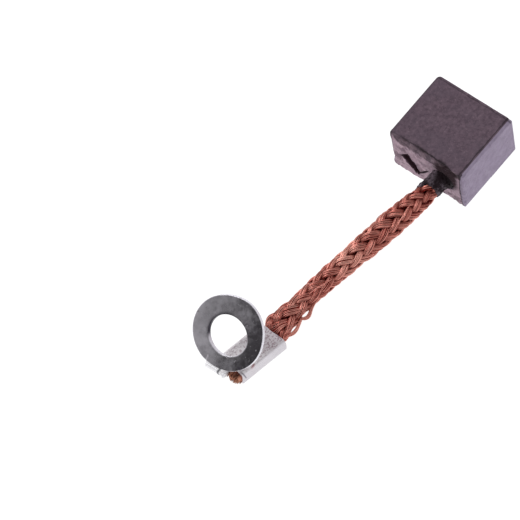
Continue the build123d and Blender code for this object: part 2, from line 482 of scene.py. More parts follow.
def tubes(paths, radii, sides, refs):
    """Closed round tubes along each path. refs is a direction near the radial one."""
    verts, quads, tris, base = [], [], [], 0
    for P, r, ref in zip(paths, radii, refs):
        n = len(P)
        t = np.gradient(P, axis=0)
        t /= np.maximum(np.linalg.norm(t, axis=1, keepdims=True), 1e-12)
        e1 = ref - (ref * t).sum(1, keepdims=True) * t
        e1 /= np.maximum(np.linalg.norm(e1, axis=1, keepdims=True), 1e-12)
        e2 = np.cross(t, e1)
        ang = 2 * np.pi * np.arange(sides) / sides
        r1, r2 = (r[0][:, None, None], r[1][:, None, None]) if np.ndim(r) == 2 else (r, r)
        ring = (P[:, None, :] + r1 * np.cos(ang)[None, :, None] * e1[:, None, :]
                + r2 * np.sin(ang)[None, :, None] * e2[:, None, :])
        verts.append(ring.reshape(-1, 3))
        verts.append(P[[0, -1]])
        i = np.arange(n - 1)[:, None] * sides + np.arange(sides)[None, :]
        k = np.arange(n - 1)[:, None] * sides + (np.arange(sides)[None, :] + 1) % sides
        quads.append((np.stack([i, k, k + sides, i + sides], -1).reshape(-1, 4)) + base)
        m = np.arange(sides)
        tris.append(np.stack([np.full(sides, n * sides), (m + 1) % sides, m], 1) + base)
        last = (n - 1) * sides
        tris.append(np.stack([np.full(sides, n * sides + 1), last + m, last + (m + 1) % sides], 1) + base)
        base += n * sides + 2
    return np.concatenate(verts), np.concatenate(quads), np.concatenate(tris)


WIRE_R = 0.040
ON_TOP = 16                              # wires laid over the outside of one strand
rng = np.random.RandomState(11)
rng_end = np.random.RandomState(5)
s_free = np.arange(0.6, S_END + 1e-6, STEP)


def bundle(points, wires, spread):
    """A loose bundle of wires that bows out from the braid: (x along, distance to the right, lift)."""
    pts = np.array(points, float)
    u = np.linspace(0, 1, 60)
    k = np.linspace(0, 1, len(pts))
    q = np.stack([np.interp(u, k, pts[:, i]) for i in range(3)], 1)
    for _ in range(3):
        q[2:-2] = (q[:-4] + q[1:-3] + q[2:-2] + q[3:-1] + q[4:]) / 5
    s = np.array([s_at_x(x) for x in q[:, 0]])
    c, t, side, up = frame_at(s)
    mid = c + q[:, 1:2] * side + q[:, 2:3] * up
    out = []
    for i in range(wires):
        ang = 2 * np.pi * i / wires + 1.7 * u + rng.uniform(0, 0.6)
        rad = spread * (0.55 + 0.45 * rng.uniform()) * (0.45 + 0.75 * np.sin(np.pi * u))
        out.append(mid + (rad * np.cos(ang))[:, None] * side + (rad * np.sin(ang))[:, None] * up)
    return out, [up] * wires


def drift(s, every, spread=1.0):
    """A slow seeded wander along the lead, rounded off."""
    kn = np.arange(0, LENGTH + 8, every)
    out = np.interp(s, kn, rng.normal(0, spread, len(kn)))
    return np.convolve(np.pad(out, 3, mode="edge"), np.ones(7) / 7, "valid")


def strand_shape(s, th, direction, wob):
    """Height of the strand's middle, its half width and its half thickness."""
    h = over(th, direction, s)
    lens = (h + 1) / 2
    squeeze = smooth(S_MOUTH - 0.8, S_MOUTH + 0.2, s)
    loosen = smooth(S_MOUTH - 5.5, S_MOUTH - 1.0, s)
    near = smooth(S_FACE + 7.0, S_FACE + 2.0, s)
    amp = (0.23 - 0.02 * near) * (1 - 0.62 * squeeze)
    half_w = (0.275 + 0.068 * lens ** 1.2) * (1 + 0.12 * wob) * (1 - 0.10 * near) * (1 + 0.15 * squeeze)
    half_t = (0.125 + 0.065 * lens) * (1 - 0.50 * squeeze)
    return h, amp, half_w, half_t, loosen


def build_strand(direction, j):
    """The wires of one strand: paths, a reference direction, a random number and a depth for each, the depth used as
    painted shade.
    """
    paths, refs, rnd, low = [], [], [], []
    shift = rng.uniform(-0.05, 0.05)
    end_extra = rng.uniform(0.62, 0.84)
    s = np.concatenate([s_free, np.arange(s_free[-1] + STEP, S_END + end_extra, STEP)])
    th = strand_path(s, direction, j) + shift + 0.045 * drift(s, 3.0)
    wob = drift(s, 2.1)
    droop = 0.22 * smooth(S_END - 0.2, S_END + 0.9, s) ** 1.3
    h, amp, half_w, half_t, loosen = strand_shape(s, th, direction, wob)
    a, b = section(s)
    r_mean = (a + b) / 2
    th = th + WARP * np.sin(2 * (th - seam_at(s))) ** 2
    slope = np.gradient(np.interp(s, S_GRID, TURN), s) * (r_mean + amp * h)
    cosa = 1 / np.sqrt(1 + slope ** 2)
    sina = slope * cosa
    c, t, side, up = frame_at(s)
    out = np.cos(th)[:, None] * side + np.sin(th)[:, None] * up
    twist = rng.uniform(-0.5, 0.5)
    by_block = smooth(S_FACE + 8.0, S_FACE + 2.0, s)
    for i in range(ON_TOP):
        phi = math.radians(-28 + 236 * (i + 0.5) / ON_TOP) + 0.05 * rng.normal()
        phi = phi + 0.10 * drift(s, 1.6) + 0.10 * np.sin(0.9 * s + twist * 6)
        loose = 1 + 0.05 * drift(s, 1.3) + loosen * 0.10 * np.abs(drift(s, 1.7))
        off = half_w * np.cos(phi) * loose
        q = amp * h + half_t * np.sin(phi) * loose
        if rng.uniform() < 0.10:            # a wire that has sprung loose for a little way
            at = rng.uniform(S_FACE + 3.0, S_MOUTH - 0.4)
            if rng.uniform() < 0.4:
                at = rng.uniform(S_MOUTH - 5.0, S_MOUTH - 0.5)
            q = q + rng.uniform(0.04, 0.17) * np.exp(-((s - at) / rng.uniform(0.5, 1.1)) ** 2)
        splay = smooth(S_END - 0.1, S_END + 1.0, s)
        q = q + splay * rng.uniform(-0.22, 0.10)
        dth = off * cosa / (r_mean + amp * h) + splay * rng.uniform(-0.35, 0.35)
        ds = -direction * off * sina
        wire_path = braid_point(s + ds, th + dth, q + 0.02 * wob, -droop)
        over_end = np.maximum(s + ds - LENGTH, 0)
        wire_path = wire_path + over_end[:, None] * SL_A
        off_b = ((wire_path - SL_O) @ SL_B + 0.74) / 0.80
        wire_path = wire_path - (0.36 * np.clip(off_b ** 2, 0, 1) * smooth(S_END - 0.8, S_END + 0.5, s))[:, None] * SL_A
        wire_path[:, 2] = np.maximum(wire_path[:, 2], 0.06)
        paths.append(wire_path)
        refs.append(out)
        rnd.append(rng.uniform())
        at_end = smooth(S_END - 0.3, S_END + 0.3, s)
        # low: painted shade, darker for wires deep in the braid, at the strand's edges and near the block, less so at
        # the cut end
        low.append(np.clip(1 - (q + 0.22) / 0.55 + 0.38 * np.abs(np.cos(phi)) ** 4 + 0.20 * by_block, 0, 1) * (1 - at_end * (0.27 + 0.73 * rng_end.uniform())))
    # the strand's packed middle, which keeps light from passing between the wires; its depth value paints it dark as
    # shade
    paths.append(braid_point(s, th, amp * h - 0.02))
    refs.append(out)
    rnd.append(0.5)
    low.append(1 - 0.55 * smooth(S_END - 0.3, S_END + 0.3, s))
    return paths, refs, rnd, low, (half_w, half_t)


def wire_piece(name, strands):
    verts, quads, tris, wire, shade, depth, base = [], [], [], [], [], [], 0
    for direction, j in strands:
        paths, refs, rnd, low, (half_w, half_t) = build_strand(direction, j)
        tone = rng.uniform()
        v, q, t = tubes(paths[:-1], [WIRE_R * (0.92 + 0.16 * x) for x in rnd[:-1]], 5, refs[:-1])
        mv, mq, mt = tubes(paths[-1:], [np.stack([half_t * 0.86, half_w * 0.88])], 8, refs[-1:])
        for vv, qq, tt, pp, rr, ll, sides in ((v, q, t, paths[:-1], rnd[:-1], low[:-1], 5),
                                              (mv, mq, mt, paths[-1:], rnd[-1:], low[-1:], 8)):
            verts.append(vv)
            quads.append(qq + base)
            tris.append(tt + base)
            base += len(vv)
            for p_, r_, l_ in zip(pp, rr, ll):
                n = len(p_) * sides + 2
                wire.append(np.full(n, r_))
                shade.append(np.full(n, tone))
                depth.append(np.concatenate([np.repeat(l_, sides), l_[[0, -1]]]))
    q, t = np.concatenate(quads), np.concatenate(tris)
    v = np.concatenate(verts)
    ob = make_mesh(name, v, q, {
        "wire": np.concatenate(wire), "strand": np.concatenate(shade),
        "low": np.concatenate(depth), "cut": smooth(SL_LEN - 0.10, SL_LEN + 0.20, (v - SL_O) @ SL_A)}, t)
    print(name, "triangles", 2 * len(q) + len(t))
    return ob


# =============================================================================
# carbon block
# =============================================================================
HX, HY, HZ = 4.05, 4.5, 2.75
CREASE = np.array([(4.7, -4.05), (4.3, -3.93), (3.8, -3.85), (2.5, -3.85), (1.5, -3.84), (0.5, -3.85),
                   (-0.3, -3.86), (-1.1, -3.91), (-2.0, -3.95), (-3.0, -4.00), (-4.0, -4.04), (-4.7, -4.045)])
CRACK = [(3.32, 2.35), (2.54, 3.10), (1.24, 0.92), (-0.07, 2.48)]
# the wide middle part of the crack, corners in order, and its thin ends
CRACK_MID = [(3.22, 2.56), (2.28, 3.60), (0.94, 1.62), (1.57, 0.60)]
CRACK_THIN = [((3.42, 2.30), (2.95, 2.70), 0.05, 0.11), ((1.28, 0.90), (-0.12, 2.52), 0.17, 0.07)]
N1, N2, N3 = Lattice(5), Lattice(6), Lattice(7)


def crack_field(p):
    """Distance across the crack on the lead face, negative inside it."""
    y, z = p[..., 1], p[..., 2]
    best = None
    for k in range(4):
        a, b = np.array(CRACK_MID[k]), np.array(CRACK_MID[(k + 1) % 4])
        n = np.array((b[1] - a[1], a[0] - b[0])) / np.hypot(*(b - a))
        f = (y - a[0]) * n[0] + (z - a[1]) * n[1]
        best = f if best is None else np.maximum(best, f)
    best = best - 0.01
    for a, b, wa, wb in CRACK_THIN:
        d, t = seg_dist(p[..., 1:], a, b)
        best = np.minimum(best, d - (wa * (1 - t) + wb * t))
    return best + 0.035 * N1(p * np.array((0, 3.1, 3.1)) + 5)


def block_sdf(p):
    x = p[..., 0]
    rough = np.maximum(np.maximum(np.abs(x) - HX, np.abs(p[..., 1]) - HY), np.abs(p[..., 2] - HZ) - HZ)
    out = np.array(rough)
    near = (rough < 0.3) & ((rough > -0.35) | ((rough > -1.0) & (x < -3.0)) | ((rough > -0.7) & (p[..., 2] > 4.8)))
    if near.any():
        out[near] = block_detail(p[near])
    return out


def block_detail(p):
    x, y, z = p[..., 0], p[..., 1], p[..., 2]
    r = np.where(y > 0, np.where(x > 0, 0.42, 0.46 - 0.24 * smooth(3.8, 5.0, z)), np.where(x > 0, 0.10, 0.18))
    wav = 0.02 * N2(p * np.array((0.0, 0.0, 0.9)) + 11) * (y < 0) * (x < 0)
    # the lead face stands out a little towards its lower right corner
    out_b = 0.13 * np.exp(-((y + 4.5) / 1.1) ** 2) * np.exp(-(z / 1.3) ** 2)
    qx = np.where(x < 0, -x - HX - out_b, x - HX) + r + wav
    qy = np.where(y < 0, -y - HY - 0.07, y - HY) + r + wav
    d2 = np.minimum(np.maximum(qx, qy), 0) + np.hypot(np.maximum(qx, 0), np.maximum(qy, 0)) - r
    # top and bottom edges: a small round, larger over the wear face
    re = 0.06 + 0.04 * smooth(3.0, 3.9, x) * smooth(2.2, 3.2, z) + 0.16 * smooth(-3.9, -4.3, y) * smooth(4.4, 5.0, z)
    re = re + 0.02 * N1(p * 1.3)
    dz = np.abs(z - HZ) - HZ
    a, b = d2 + re, dz + re
    d = np.minimum(np.maximum(a, b), 0) + np.hypot(np.maximum(a, 0), np.maximum(b, 0)) - re
    # broken top edge of the lead face
    xc = np.interp(y, CREASE[::-1, 0], CREASE[::-1, 1])
    xc = xc + 0.05 * N1(np.stack([y * 2.3, y * 0, y * 0], -1) + 2.2) * smooth(4.4, 3.6, np.abs(y))
    c = np.maximum(xc + HX, 0.004)
    drop = 0.45 + 2.6 * c
    ln = np.hypot(c, drop)
    cut = (-(x - xc) * drop + (z - 2 * HZ) * c) / ln
    cut = cut + 0.035 * N2(p * 2.4 + 7) + 0.018 * N3(p * 6.0) + 0.02
    lip = 0.05 * np.exp(-((x - xc - 0.03) / 0.07) ** 2) * np.exp(-((z - 5.5) / 0.12) ** 2) * smooth(0.05, 0.3, c)
    d = np.maximum(d, cut)
    d = d + lip * 1.6
    # lead face: the carbon above the crack stands a little proud
    near = smooth(-3.2, -3.9, x)
    above = smooth(0.0, 0.35, crack_side(y, z)) * smooth(1.2, 0.2, crack_side(y, z) - 0.6)
    d = d - 0.075 * near * above * smooth(3.6, 3.0, y) * smooth(-0.5, 0.3, y) * smooth(4.6, 3.8, z)
    d = d + near * (0.035 * N3(p * 1.6 + 1) + 0.030 * N2(p * 4.2 + 4))
    cf = crack_field(p)
    depth = x + HX
    dk = cf + 0.20 * np.maximum(depth, 0)
    d = np.maximum(d, -dk * 0.9)
    # chips
    for (cx, cy, cz, cr) in ((-4.12, 4.62, 1.30, 0.52), (-4.10, 4.52, 0.85, 0.36), (4.14, -2.2, 5.56, 0.16),
                             (4.16, 0.4, 5.58, 0.15), (4.15, 2.7, 5.57, 0.13), (-4.1, -4.56, 2.3, 0.13),
                             (-4.12, -4.56, 0.9, 0.15), (4.12, -4.55, 5.58, 0.16), (-4.1, 0.6, -0.05, 0.20),
                             (4.1, -4.58, 1.6, 0.12)):
        e = np.sqrt((x - cx) ** 2 + (y - cy) ** 2 + (z - cz) ** 2) - cr + 0.05 * N1(p * 5 + 9)
        d = smax(d, -e, 0.04)
    # socket for the lead
    rr = np.hypot(y - ROOT[1], z - ROOT[2]) + 0.06 * N1(p * 1.7 + 3)
    sock = np.maximum(rr - 1.20 - 0.10 * smooth(-3.7, -4.05, x), x + 3.55)
    d = np.maximum(d, -sock)
    return d


def crack_side(y, z):
    """How far above the crack line a point of the lead face is."""
    ys = np.array([c[0] for c in CRACK])[::-1]
    zs = np.array([c[1] for c in CRACK])[::-1]
    return z - np.interp(y, ys, zs)


print("block")
v, q = surface(block_sdf, (-4.37, -4.77, -0.1), (4.2, 4.65, 5.65), 0.062)
v, q, _ = biggest(v, q)
# fine grain in the shape itself
g, _ = gradient(block_sdf, v, 0.02)
g /= np.maximum(np.linalg.norm(g, axis=1, keepdims=True), 1e-9)
face_lead = np.clip(-g[:, 0], 0, 1) ** 2
face_top = np.clip(g[:, 2], 0, 1) ** 2
grain = 0.006 * fractal(31, v * 7.0, 2)
v = v - g * np.abs(grain)[:, None] * (0.6 + 1.4 * face_lead)[:, None]
v[:, 2] = np.maximum(v[:, 2], 0.0)
crack_d = crack_field(v)
xc_v = np.interp(v[:, 1], CREASE[::-1, 0], CREASE[::-1, 1])
pn = Lattice(91)
wob_v = pn(v * np.array((1.6, 1.6, 1.6)))
wob_f = pn(v * 4.1 + 5)
band_z = 4.56 + 0.14 * wob_v + 0.10 * wob_f + 0.75 * smooth(3.6, 4.3, v[:, 1])
broken = smooth(band_z - 0.12, band_z + 0.10, v[:, 2]) * smooth(-3.6, -3.75, v[:, 0]) * (1 - smooth(0.80, 0.97, g[:, 2]))
# distances in millimetres from the dark lines just inside the edges: painted shade where the edges round away
side_y = -4.29 + 0.26 * np.sin(np.pi * np.clip(v[:, 2] / 5.5, 0, 1)) + 0.035 * wob_v
is_side = smooth(side_y + 0.03, side_y - 0.03, v[:, 1])
broken = broken * (1 - is_side)
line_y = np.where(v[:, 2] > 5.2, v[:, 1] + 4.09, np.sign(v[:, 1] + 4.09))
line_x = np.where(v[:, 2] > 5.2, v[:, 0] - 3.76, np.sign(v[:, 0] - 3.76))
line_b = np.where(v[:, 0] < -3.7, v[:, 1] - side_y, np.sign(v[:, 1] - side_y))
# painted shade along the rounded far vertical edge and along the top edge
line_l = smooth(0.42, 0.20, np.hypot(v[:, 0] + 4.05, v[:, 1] - 4.5)) * smooth(1.2, 3.2, v[:, 2])
line_t = smooth(0.20, 0.06, np.hypot(v[:, 1] - 4.5, v[:, 2] - 5.5))
face_lead = face_lead * (1 - is_side)
face_top = face_top * smooth(-4.31, -4.24, v[:, 1])
crease_d = v[:, 0] - xc_v - 0.10 + 0.25 * smooth(-2.2, -3.8, v[:, 1]) - 0.45 * (5.5 - v[:, 2])
crease_d = np.where(v[:, 1] < side_y, 2.0 * np.sign(crease_d), crease_d)
crease_d = np.where(v[:, 0] > -3.2, 2.0, np.where(v[:, 2] > 4.2, crease_d, -2.0))
root_d = np.hypot((v[:, 1] + 2.48) / 1.46, (v[:, 2] - 3.80) / 1.95) + 0.16 * wob_v + 0.10 * wob_f
block = make_mesh("block_carbon", v, q, {
    "top": face_top,
    "lead": face_lead,
    "crack": smooth(0.10, -0.04, crack_d) * smooth(-3.3, -3.7, v[:, 0]),
    "crease_d": crease_d,
    "broken": broken,
    "line_y": line_y,
    "line_x": line_x,
    "line_b": line_b,
    "edge": np.clip(np.maximum(0.60 * line_l, 0.40 * line_t), 0, 1),
    "along": np.clip((4.5 - v[:, 1]) / 9.0, 0, 1),
    "root": smooth(1.32, 0.74, root_d) * smooth(-3.2, -3.7, v[:, 0]) * (1 - 0.9 * np.clip(face_top * 1.6, 0, 1)),
})
print("block triangles", 2 * len(q))


# =============================================================================
# cement round the lead's root
# =============================================================================
LEAD_OUT = (along(S_FACE + 2.0) - along(S_FACE))
LEAD_OUT /= np.linalg.norm(LEAD_OUT)
CEM_N1, CEM_N2 = Lattice(41), Lattice(42)


def cement_sdf(p):
    rel = p - ROOT - np.array((0.0, 0.24, 0.0))
    h = rel @ LEAD_OUT
    perp = rel - h[..., None] * LEAD_OUT
    r = np.linalg.norm(perp, axis=-1)
    wav = 0.07 * CEM_N1(p * 1.5) + 0.045 * CEM_N2(p * 4.5)
    outer = r - (1.08 + 0.02 * h + 0.06 * smooth(0.7, 0.0, h)) + wav
    # ragged end, with a tongue along the upper left
    unit = perp / np.maximum(r, 1e-6)[..., None]
    tongue = np.clip(unit @ np.array((0, 0.90, 0.44)), 0, 1) ** 9
    outer = outer + 0.13 * smooth(1.6, 2.5, h)
    end = 1.62 + 0.14 * perp[..., 1] + 0.94 * tongue + 0.20 * CEM_N1(p * 2.1 + 8) + 0.10 * CEM_N2(p * 6 + 1)
    d = smax(outer, h - end, 0.18)
    foot = np.hypot(p[..., 1] - ROOT[1], p[..., 2] - ROOT[2]) - 1.20 + wav
    inner = np.maximum(foot, np.abs(p[..., 0] + 3.72) - 0.26)
    d = smin(d, inner, 0.05)
    return np.maximum(d, p[..., 0] + 3.40)


print("cement")
v, q = surface(cement_sdf, (-7.4, -3.7, 0.9), (-3.3, 0.3, 4.3), 0.05)
v, q, _ = biggest(v, q)
cement = make_mesh("root_compound", v, q, {
    "shade": smooth(-5.3, -4.3, v[:, 0] + 0.35 * (v[:, 1] + 1.9)) * smooth(-1.0, -1.7, v[:, 1])})
print("cement triangles", 2 * len(q))


# =============================================================================
# terminal
# =============================================================================
RING_OR, RING_IR = 3.83, 2.10
RING_C = np.array((-31.16, 3.63, 5.03))
TILT = math.radians(45.0)
RQ = np.array((math.cos(TILT), 0, math.sin(TILT)))
RN = np.array((-math.sin(TILT), 0, math.cos(TILT)))
RY = np.array((0, -1.0, 0))
NECK_Y, NECK_W, BEND_R = 3.70, 1.92, 0.48
LOW = RING_C - RQ * RING_OR
BEND_X = LOW[0] + BEND_R * math.sin(TILT) + 0.05
BEND_Z = LOW[2] - BEND_R * math.cos(TILT) + 0.05
NECK_Z = BEND_Z - BEND_R
TN1, TN2 = Lattice(61), Lattice(62)
EDGE = 0.10


def slab(d2, dz, half, r):
    a, b = d2 + r, np.abs(dz) - half + r
    return np.minimum(np.maximum(a, b), 0) + np.hypot(np.maximum(a, 0), np.maximum(b, 0)) - r


def rect2(u, w, hu, hw, r):
    a, b = np.abs(u) - hu + r, np.abs(w) - hw + r
    return np.minimum(np.maximum(a, b), 0) + np.hypot(np.maximum(a, 0), np.maximum(b, 0)) - r


def blank(u, w):
    """Distance from the ring's middle to a point of its face, the blank being a little oval and fuller on one side."""
    ang = np.arctan2(w, u)
    fuller = 0.24 * np.exp(-((ang - 1.31) / 0.50) ** 2) + 0.10 * np.exp(-((ang - 0.75) / 0.35) ** 2)
    return np.hypot((u + 0.11) / 1.026, (w - 0.10) / 0.976) - fuller


def terminal_sdf(p):
    # ring: a slightly bowed washer with rounded edges; the hole's edge, rolled over by the punch on the real part, gets
    # no shape of its own
    rel = p - RING_C
    n = rel @ RN
    u, w = rel @ RY, rel @ RQ
    rr = np.hypot((u - 0.05) / 1.028, (w + 0.04) / 0.967)
    bow = 0.05 * (w / RING_OR) ** 2 + 0.03 * (u / RING_OR) * (w / RING_OR)
    n2 = n + SHEET / 2 + bow
    ang = np.arctan2(w, u)
    hole = RING_IR + 0.03 * np.cos(2 * ang + 0.6) - rr
    disc = np.maximum(blank(u, w) - RING_OR - 0.015 * np.cos(3 * ang), hole)
    ring = slab(disc, n2, SHEET / 2, 0.05)
    # strip from the ring down to the fold
    strip2 = rect2(u - (RING_C[1] - NECK_Y), w + RING_OR * 0.86, NECK_W / 2, RING_OR * 0.115, 0.05)
    strip = slab(strip2, n2, SHEET / 2, 0.05)
    # the fold, an arc about an axis along Y
    fx, fz = p[..., 0] - BEND_X, p[..., 2] - BEND_Z
    fr = np.hypot(fx, fz)
    fold = slab(np.abs(p[..., 1] - NECK_Y) - NECK_W / 2, fr - (BEND_R - SHEET / 2), SHEET / 2, EDGE)
    # keep the arc from straight down, round the far side, to the strip
    fold = np.maximum(fold, np.maximum(fx, fx * math.cos(TILT) + fz * math.sin(TILT)) - 0.04)
    # neck, level with the sleeve's top
    end_x = SL_O[0] + SL_A[0] * SL_LEN
    t = np.clip((p[..., 0] - BEND_X) / (end_x + 0.8 - BEND_X), 0, 1)
    lo_y = NECK_Y - NECK_W / 2 - 0.3 * t
    hi_y = NECK_Y + NECK_W / 2 - 0.94 * t
    nk = np.maximum(np.abs(p[..., 0] - (BEND_X + end_x + 0.8) / 2) - (end_x + 0.8 - BEND_X) / 2,
                    np.maximum(lo_y - p[..., 1], p[..., 1] - hi_y))
    neck = slab(nk, p[..., 2] - (NECK_Z + SHEET / 2), SHEET / 2, EDGE)
    # a burred lip where the neck's edge is turned down
    lip = np.sqrt(((p[..., 0] + 33.24) / 0.48) ** 2 + ((p[..., 1] - 2.72) / 0.27) ** 2 + ((p[..., 2] - 1.30) / 0.40) ** 2)
    lip = (lip - 1) * 0.22 + 0.03 * TN1(p * 5.0)
    # sleeve: the sheet folded round the lead
    rs = p - SL_O
    la, lb, lz = rs @ SL_A, rs @ SL_B, p[..., 2] - SL_H / 2
    press = 0.05 * np.exp(-((la - 2.9) / 1.2) ** 2) * np.exp(-(lb / 1.1) ** 2)
    lz2 = np.where(lz > 0, lz + press, lz)
    rad = np.where(lb < 0, 0.60, 0.50)
    outer2 = rect2(lb, lz2, SL_W / 2, SL_H / 2, rad)
    shell2 = np.abs(outer2 + SHEET / 2)
    skew = YAW - math.radians(3.4)
    start = lb * math.sin(skew) - la * math.cos(skew) + 0.04 * TN1(np.stack([lb * 1.3, lz * 1.3, lb * 0], -1))
    stop = la - SL_LEN - 0.05 * TN1(np.stack([lb * 1.3, lz * 1.3, lb * 0], -1) + 4)
    ends = np.maximum(start, stop)
    sleeve = slab(ends, shell2, SHEET / 2, 0.09)
    # open seam on the left side, low down
    seam = np.maximum(np.abs(p[..., 2] - (SHEET + 0.06 + 0.15)) - 0.06, -(lb - SL_W / 2 + SHEET * 1.4))
    sleeve = smax(sleeve, -seam, 0.05)
    body = smin(ring, strip, 0.10)
    body = smin(body, fold, 0.06)
    body = smin(body, neck, 0.06)
    body = smin(body, lip, 0.08)
    body = smin(body, sleeve, 0.12)
    # never into the space inside the sleeve
    inner = np.maximum(rect2(lb, lz, SL_W / 2 - SHEET, SL_H / 2 - SHEET, 0.12), np.maximum(-la - 2, la - SL_LEN - 0.2))
    return np.maximum(body, -inner)


print("terminal")
v, q = surface(terminal_sdf, (-34.4, -0.5, -0.1), (-26.6, 7.7, 8.0), 0.055, project=3)
v, q, _ = biggest(v, q)
v[:, 2] = np.maximum(v[:, 2], 0.0)
rel = v - RING_C
u_r, w_r, n_r = rel @ RY, rel @ RQ, rel @ RN
rr = blank(u_r, w_r)
rr_in = np.hypot((u_r - 0.05) / 1.028, (w_r + 0.04) / 0.967)
on_ring = smooth(4.1, 3.9, rr) * smooth(0.9, 0.6, np.abs(n_r + SHEET / 2)) * smooth(-4.2, -3.9, w_r)
gt, _ = gradient(terminal_sdf, v, 0.02)
gt /= np.maximum(np.linalg.norm(gt, axis=1, keepdims=True), 1e-9)
facing = np.abs(gt @ RN)
wall_v = smooth(0.10, 0.05, rr_in - RING_IR) * smooth(0.9, 0.5, np.abs(n_r))
wall_lit = smooth(0.64, 0.93, (-0.342 * u_r - 0.940 * w_r) / np.maximum(rr_in, 0.1))
# lighter patches on the ring's face: painted reflection
painted_light_patches = (0.34 * np.exp(-((u_r + 0.75) / 0.85) ** 2 - ((w_r + 2.95) / 0.75) ** 2)
          + 0.22 * np.exp(-((u_r - 1.5) / 0.42) ** 2 - ((w_r + 2.4) / 0.60) ** 2)
          + 0.12 * np.exp(-((u_r - 0.7) / 1.70) ** 2 - ((w_r - 3.2) / 0.85) ** 2))
rs_v = v - SL_O
la_v, lb_v = rs_v @ SL_A, rs_v @ SL_B
fold_d = np.hypot(v[:, 0] - BEND_X, v[:, 2] - BEND_Z)
terminal = make_mesh("terminal_sheet", v, q, {
    "face": on_ring * smooth(0.50, 0.80, facing) * smooth(-3.87, -3.82, -rr),
    "rim": on_ring * smooth(0.75, 0.45, facing) * smooth(3.70, 3.78, rr),
    # painted shade on the hole's wall, fading out where the wall is painted lit
    "wall_shade": wall_v * (1 - 0.92 * wall_lit),
    "wall_lit": wall_v * wall_lit,
    # brink: painted shade on the face round the hole's upper left, where the punched edge rolls over
    "brink": np.exp(-((rr_in - RING_IR - 0.02) / 0.22) ** 2) * smooth(0.30, 0.85, (-0.93 * u_r + 0.36 * w_r) / np.maximum(rr_in, 0.1))
             * smooth(0.9, 0.5, np.abs(n_r)),
    # painted highlight on the hole's rounded edge at its lower right
    "hole_edge_highlight": smooth(0.19, 0.07, rr_in - RING_IR) * smooth(-0.02, 0.03, rr_in - RING_IR)
            * smooth(0.35, 0.80, (0.72 * u_r - 0.69 * w_r) / np.maximum(rr_in, 0.1)) * smooth(0.5, 0.3, np.abs(n_r)),
    "mouth": smooth(3.4, 1.2, la_v),
    "nick": np.exp(-((la_v - 4.98 - 0.24 * (v[:, 2] - 0.7)) / 0.06) ** 2) * smooth(-1.25, -1.5, lb_v)
            * smooth(0.85, 1.15, v[:, 2]),
    # across: painted reflection across the ring's face, darker towards one side, lighter in the painted patches
    "across": np.clip(0.5 + (0.86 * u_r + 0.06 * w_r) / 7.0 - painted_light_patches, 0, 1),
    "plate": smooth(1.70, 1.88, v[:, 2]) * smooth(2.3, 2.05, v[:, 2]) * smooth(-34, -33.2, v[:, 0]),
    # turned: painted light on the strip below the ring's edge and on the lip, coloured near white
    "turned": np.maximum(smooth(3.68, 3.78, rr) * smooth(-3.3, -3.5, w_r) * smooth(-33.0, -33.3, v[:, 0]),
                         smooth(0.62, 0.45, np.hypot(v[:, 0] + 33.24, v[:, 1] - 2.72)) * smooth(1.9, 1.7, v[:, 2])),
    "stain": np.exp(-((la_v - 3.92) / 0.26) ** 2 - ((lb_v + 1.50 + 0.2 * (la_v - 3.92)) / 0.10) ** 2),
    # gap: painted shade of a gap across the fold
    "gap": np.exp(-((v[:, 1] - 2.96 - 0.05 * np.sin(9 * v[:, 2])) / 0.12) ** 2) * smooth(0.7, 0.5, fold_d) * smooth(0.25, 0.45, fold_d),
})
print("terminal triangles", 2 * len(q))


# =============================================================================
# braid meshes
# =============================================================================
print("braid")
groups = [[(1, 0), (1, 1), (1, 2), (1, 3)], [(1, 4), (1, 5), (1, 6), (1, 7)],
          [(-1, 0), (-1, 1), (-1, 2), (-1, 3)], [(-1, 4), (-1, 5), (-1, 6), (-1, 7)]]
strand_objects = [wire_piece(f"lead_strands_{i + 1}", g) for i, g in enumerate(groups)]

loops, loop_refs = [], []
for points, wires, spread in (
        ([(-20.9, 0.78, -0.20), (-21.7, 0.84, -0.16), (-22.4, 1.10, -0.10), (-23.0, 1.45, -0.05),
          (-23.45, 1.54, 0.0), (-23.8, 1.36, 0.0), (-24.0, 1.02, -0.05), (-24.1, 0.78, -0.1)], 19, 0.17),
        ([(-23.6, 0.95, 0.1), (-23.95, 1.25, 0.0), (-24.5, 1.44, -0.03), (-25.1, 1.66, -0.03),
          (-25.6, 1.68, -0.03), (-26.0, 1.55, -0.03), (-26.35, 1.30, -0.04), (-26.6, 1.1, -0.1)], 13, 0.14),
        ([(-19.0, 0.70, 0.75), (-19.9, 0.66, 1.05), (-20.8, 0.50, 1.12), (-21.7, 0.34, 0.98)], 2, 0.04),
        ([(-8.2, 0.2, 1.05), (-9.0, 0.5, 1.28), (-9.9, 0.8, 1.22), (-10.7, 0.98, 0.95)], 2, 0.03)):
    p_, r_ = bundle(points, wires, spread)
    loops += p_
    loop_refs += r_
v, q, t = tubes(loops, [WIRE_R] * len(loops), 6, loop_refs)
n = 60 * 6 + 2
strays = make_mesh("lead_stray_wires", v, q, {
    "wire": np.repeat(rng.uniform(0, 1, len(loops)), n), "strand": np.full(len(v), 0.4),
    "low": np.zeros(len(v))}, t)

# packed middle of the braid, coloured dark as painted shade for its hidden inside
s_core = np.linspace(0.6, S_END, 150)
th = 2 * np.pi * np.arange(20) / 20
rings = [braid_point(np.full(20, s), th, np.full(20, -0.10)) for s in s_core]
v = np.concatenate(rings + [along(np.array([0.6])), braid_point(np.array([S_END]), np.array([0.0]), np.array([-1.0]))])
i = np.arange(len(s_core) - 1)[:, None] * 20 + np.arange(20)[None, :]
k = np.arange(len(s_core) - 1)[:, None] * 20 + (np.arange(20)[None, :] + 1) % 20
q = np.stack([i, k, k + 20, i + 20], -1).reshape(-1, 4)
m = np.arange(20)
last = (len(s_core) - 1) * 20
t = np.concatenate([np.stack([np.full(20, len(v) - 2), (m + 1) % 20, m], 1),
                    np.stack([np.full(20, len(v) - 1), last + m, last + (m + 1) % 20], 1)])
core = make_mesh("lead_core", v, q, None, t)


